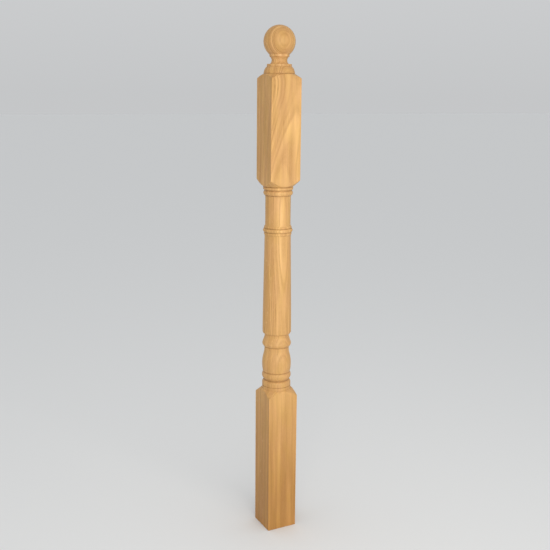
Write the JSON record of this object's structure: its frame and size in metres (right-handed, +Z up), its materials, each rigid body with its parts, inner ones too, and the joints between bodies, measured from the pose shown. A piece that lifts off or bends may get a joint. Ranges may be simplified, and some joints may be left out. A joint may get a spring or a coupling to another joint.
{
  "type": "newel post",
  "caption": "Wooden post that ends or turns a stair handrail, square at foot and head for fixing, turned between with a tapered shaft, rings, beads and vase, ball on top.",
  "frame": {"origin": "centre of the square underside of the post, on the floor", "axes": "+Z up along the turning axis to the ball, X and Y square to the flat sides of the blocks"},
  "size_m": [0.0762, 0.0762, 1.2192],
  "materials": {
    "wood": "sanded and unfinished, pale yellow-tan, open grain"
  },
  "bodies": {
    "root": {"newel_post": "wood"}
  },
  "joints": []
}
